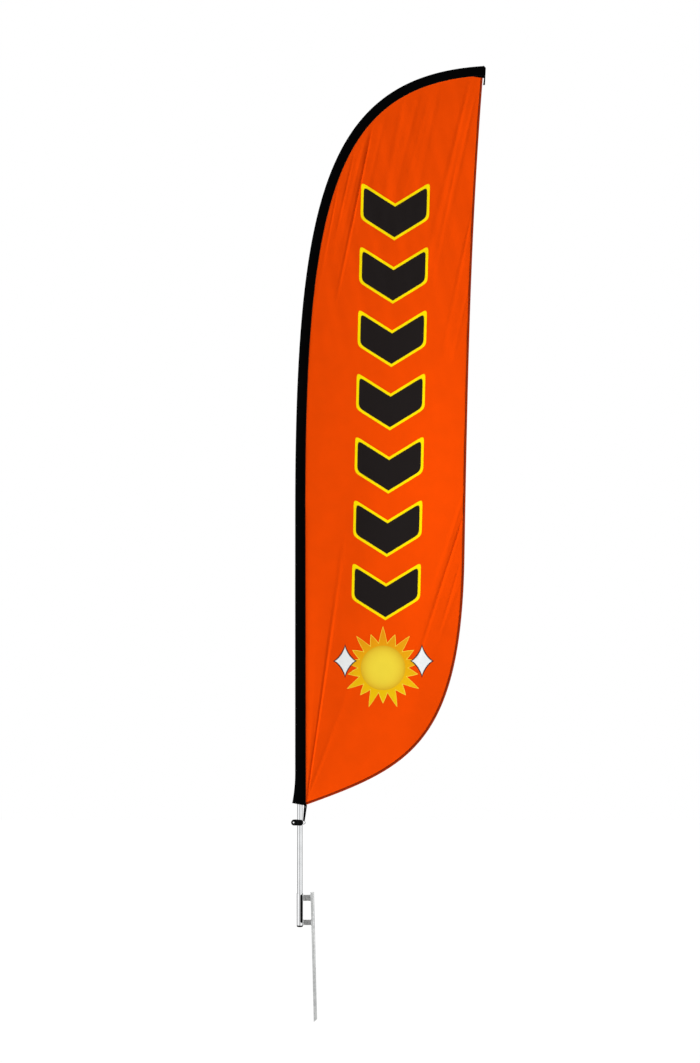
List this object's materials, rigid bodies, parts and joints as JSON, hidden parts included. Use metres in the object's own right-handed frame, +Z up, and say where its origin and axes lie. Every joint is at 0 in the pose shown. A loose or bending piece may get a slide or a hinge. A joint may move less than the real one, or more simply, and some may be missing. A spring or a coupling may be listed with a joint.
{
  "type": "feather flag",
  "caption": "Tall feather flag: a printed cloth with a black pole sleeve on a bent sectional pole, held down by a strap and clamp, turning in a spiked ground stake.",
  "frame": {"origin": "where the spike enters the ground, on the spike's axis", "axes": "+Z up; +X from the pole towards the flag's trailing edge; the printed face looks along -Y"},
  "size_m": [0.9242, 0.0634, 4.5396],
  "materials": {
    "zinc_steel": "zinc plated, bright",
    "tube_aluminium": "polished",
    "black_nylon": "moulded, satin",
    "black_steel": "black oxide",
    "coated_wire": "black coated wire",
    "fibreglass": "ground, matt",
    "sleeve_cloth": "knitted stretch cloth",
    "flag_cloth": "knitted polyester, dye printed",
    "hem_cloth": "doubled cloth with dark stitching",
    "webbing": "woven tape"
  },
  "bodies": {
    "ground_stake": {"spike_rod": "zinc_steel", "upper_crossbar": "zinc_steel", "lower_crossbar": "zinc_steel", "receiver_tube": "zinc_steel", "receiver_cap": "black_nylon"},
    "swivel_bush": {"swivel_liner": "black_nylon"},
    "bottom_section": {"lower_pole": "tube_aluminium", "pole_foot_plug": "black_nylon"},
    "pole_clamp": {"clamp_body": "black_nylon", "clamp_nut": "black_steel", "clamp_hook": "coated_wire"},
    "pinch_screw": {"clamp_screw": "black_steel"},
    "middle_section": {"middle_pole": "tube_aluminium", "pole_collar": "black_nylon", "whip_bush": "black_nylon"},
    "whip_and_flag": {"whip_base": "fibreglass", "whip_ferrule": "tube_aluminium", "whip_tip": "fibreglass", "tip_cap": "black_nylon", "pole_sleeve": "sleeve_cloth", "flag_panel": "flag_cloth", "trailing_hem": "hem_cloth", "tip_binding": "sleeve_cloth", "tension_strap": "webbing", "strap_eyelet": "tube_aluminium"}
  },
  "joints": [
    {"name": "flag_spin", "type": "hinge", "parent": "ground_stake", "child": "swivel_bush", "pos_m": [-0.063, 0, 0.08], "axis": [0, 0, 1], "continuous": true},
    {"name": "pole_lift", "type": "slide", "parent": "swivel_bush", "child": "bottom_section", "axis": [0, 0, 1], "range_m": [0, 0.14]},
    {"name": "clamp_slide", "type": "slide", "parent": "bottom_section", "child": "pole_clamp", "axis": [0, 0, 1], "range_m": [0, 0.05], "deforming": ["tension_strap"]},
    {"name": "clamp_screw_turn", "type": "hinge", "parent": "pole_clamp", "child": "pinch_screw", "pos_m": [-0.0833, 0, 0.496], "axis": [0, -1, 0], "range_deg": [0, 360]},
    {"name": "middle_pull", "type": "slide", "parent": "bottom_section", "child": "middle_section", "axis": [0, 0, 1], "range_m": [0, 0.1]},
    {"name": "whip_pull", "type": "slide", "parent": "middle_section", "child": "whip_and_flag", "axis": [0, 0, 1], "range_m": [0, 0.075]}
  ]
}
